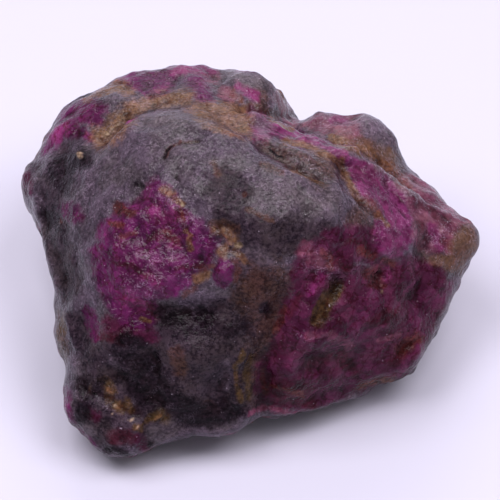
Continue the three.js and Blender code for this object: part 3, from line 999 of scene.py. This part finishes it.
colour = blend(tone, *GREY_ROCK)
shares = {}
for mineral, (dark_tone, light_tone, cover) in MINERAL_TONES.items():
    rough_share = math_node("ADD", stored(mineral), math_node("MULTIPLY", ragged, RAGGED_REACH))
    shares[mineral] = ease(rough_share, 0.5 - EDGE, 0.5 + EDGE, 0.0, cover)
    mineral_tone = glassy_tone if mineral in GLASSY_MINERALS else tone
    colour = blend(shares[mineral], colour, blend(mineral_tone, dark_tone, light_tone))
print("minerals", len(MINERAL_TONES))

# %% [markdown]
# ## Tint, facets and veins
# The whole stone drifts between a plum and a warmer tint. Corundum breaks along facets, so its tone
# changes from one bent cell to the next, and thin reddish veins run through it. A vein is where a noise
# crosses one half, which gives a winding line of even width.

# %% Tint, facets and veins
PLUM_TINT, WARM_TINT = (1.05, 0.93, 1.06, 1), (1.03, 0.98, 0.95, 1)
TINT_SIZE, TINT_RANGE = 3.5, (0.42, 0.60)
FACET_SIZE = 1.2 * MM
WAVER_SIZE = 0.7 * MM
FACET_WAVER = 0.9 * MM
FACET_RANGE = (0.25, 0.75, 0.78, 1.28)
VEIN_COLOUR = (0.62, 0.36, 0.42, 1)
VEIN_SIZE, VEIN_RANGE = 1.6, (0.004, 0.035)


def winding_lines(noise_value, thin, thick):
    away = math_node("ABSOLUTE", math_node("SUBTRACT", noise_value, 0.5), 0.0)
    return ease(away, thin, thick, 1.0, 0.0)


tint = blend(ease(grain(TINT_SIZE, 3), *TINT_RANGE), PLUM_TINT, WARM_TINT)
colour = blend(1.0, colour, tint, "MULTIPLY")
crystal = math_node("MAXIMUM", shares["purple"], shares["maroon"])
waver = tree.nodes.new("ShaderNodeTexNoise")
feed(waver.inputs["Vector"], where)
waver.inputs["Scale"].default_value = 1 / WAVER_SIZE
bent = tree.nodes.new("ShaderNodeVectorMath")
bent.operation = "MULTIPLY_ADD"
feed(bent.inputs[0], waver.outputs["Color"])
feed(bent.inputs[1], (FACET_WAVER, FACET_WAVER, FACET_WAVER))
feed(bent.inputs[2], where)
cells = tree.nodes.new("ShaderNodeTexVoronoi")
feed(cells.inputs["Vector"], bent.outputs[0])
cells.inputs["Scale"].default_value = 1 / FACET_SIZE
facets = cells.outputs["Color"]
colour = blend(crystal, colour, ease(facets, *FACET_RANGE), "MULTIPLY")
veins = math_node("MULTIPLY", winding_lines(grain(VEIN_SIZE, 3, 0.55), *VEIN_RANGE), crystal)
colour = blend(veins, colour, VEIN_COLOUR, "MULTIPLY")
print("tint, facets and veins,", len(tree.nodes), "nodes")

# %% [markdown]
# ## Painted glints, sheen and points
# The glints on broken crystal faces are painted into the colour as tiny pale flecks. They are short pieces
# of winding lines, thick where the sparkle was marked and thin elsewhere, with a faint painted sheen
# around them and a few bright painted glint points all over. Dark rock and painted shade carry fewer.

# %% Painted glints, sheen and points
GLINT_PAINT_COLOUR = (0.112, 0.084, 0.115, 1)
SHEEN_PAINT_COLOUR = (0.022, 0.014, 0.022, 1)
GLINT_POINT_PAINT_COLOUR = (0.16, 0.13, 0.165, 1)
CLUSTER_SIZE, CLUSTER_FACETS = 1.4, 0.35
WRINKLE_SIZE, WRINKLE_RANGE = 0.34, (0.008, 0.05)
PIECE_SIZE, PIECE_CLUSTERS, PIECE_RANGE = 0.5, 0.4, (0.46, 0.62)
HAZE_SIZE, HAZE_CLUSTERS, HAZE_RANGE = 0.34, 0.5, (0.44, 0.66)
POINT_SIZE, POINT_RANGE = 0.30, (0.75, 0.81)
ROCK_GLITTER, CRYSTAL_GLITTER, DULL_GLITTER = 0.60, 0.10, 0.36
FULL_SHARE = 0.9

clusters = mixed(grain(CLUSTER_SIZE, 2), facets, CLUSTER_FACETS)
wrinkles = winding_lines(grain(WRINKLE_SIZE, 2), *WRINKLE_RANGE)
pieces = ease(mixed(grain(PIECE_SIZE, 1), clusters, PIECE_CLUSTERS), *PIECE_RANGE)
painted_glints = math_node("MULTIPLY", wrinkles, pieces)
painted_sheen = ease(mixed(grain(HAZE_SIZE, 3, 0.7), clusters, HAZE_CLUSTERS), *HAZE_RANGE)
dull = math_node("MAXIMUM", shares["black_rock_and_shade"], shares["dark_rock_and_shade"])
least_glitter = ease(crystal, 0.0, FULL_SHARE, ROCK_GLITTER, CRYSTAL_GLITTER)
marked_glitter = ease(stored("sparkle"), 0.1, FULL_SHARE, least_glitter, 1.0)
glitter = math_node("MULTIPLY", marked_glitter, ease(dull, 0.0, FULL_SHARE, 1.0, DULL_GLITTER))
# Painted sheen, painted glints and painted glint points are added to the colour
colour = blend(math_node("MULTIPLY", painted_sheen, glitter), colour, SHEEN_PAINT_COLOUR, "ADD")
colour = blend(math_node("MULTIPLY", painted_glints, glitter), colour, GLINT_PAINT_COLOUR, "ADD")
colour = blend(ease(grain(POINT_SIZE, 1), *POINT_RANGE), colour, GLINT_POINT_PAINT_COLOUR, "ADD")
print("flecks,", len(tree.nodes), "nodes")

# %% [markdown]
# ## Stain and painted shade, wear and gloss
# Creases darken, partly as stain and partly as painted shade, and crests pale. The stone has a crisp
# but weak gloss, weaker still on dark rock, on painted shade and on maroon: a strong gloss would lay a
# grey veil over everything. Grains that are finer than the mesh are left to a shallow bump.

# %% Stain and painted shade, wear, gloss and bump
CREASE_STAIN_AND_SHADE_COLOUR, CREASE_STAIN_AND_SHADE_RANGE = (0.42, 0.32, 0.34, 1), (0.55, 1.0)
WEAR_COLOUR, WEAR_RANGE = (1.25, 1.23, 1.25, 1), (0.45, 0.0)
ROUGHNESS_RANGE = (0.10, 0.20)
GLOSS_RANGE = (0.18, 0.07)
MAROON_MATT = 0.7
BUMP_HEIGHT = 0.22 * MM
FINE_BUMP, BROAD_BUMP = 0.30, 0.7

crease = stored("crease")
# Creases darkened, partly stain and partly painted shade
colour = blend(ease(crease, *CREASE_STAIN_AND_SHADE_RANGE), colour, CREASE_STAIN_AND_SHADE_COLOUR, "MULTIPLY")
colour = blend(ease(crease, *WEAR_RANGE), colour, WEAR_COLOUR, "MULTIPLY")
matt = math_node("MAXIMUM", dull, math_node("MULTIPLY", shares["maroon"], MAROON_MATT))
feed(surface.inputs["Base Color"], colour)
feed(surface.inputs["Roughness"], ease(tone, 0.0, 1.0, *ROUGHNESS_RANGE))
feed(surface.inputs["Specular IOR Level"], ease(matt, 0.0, FULL_SHARE, *GLOSS_RANGE))

bump = tree.nodes.new("ShaderNodeBump")
bump.inputs["Strength"].default_value = 1.0
bump.inputs["Distance"].default_value = BUMP_HEIGHT
feed(bump.inputs["Height"], mixed(grain(FINE_BUMP, 2, 0.5), grain(BROAD_BUMP, 2), 0.5))
feed(surface.inputs["Normal"], bump.outputs["Normal"])
skin.data.materials.clear()
skin.data.materials.append(finish)
print("finish of", len(tree.nodes), "nodes")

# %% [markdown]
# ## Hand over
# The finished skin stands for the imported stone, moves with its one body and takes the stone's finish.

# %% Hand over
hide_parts("stone")
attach(skin, "root")
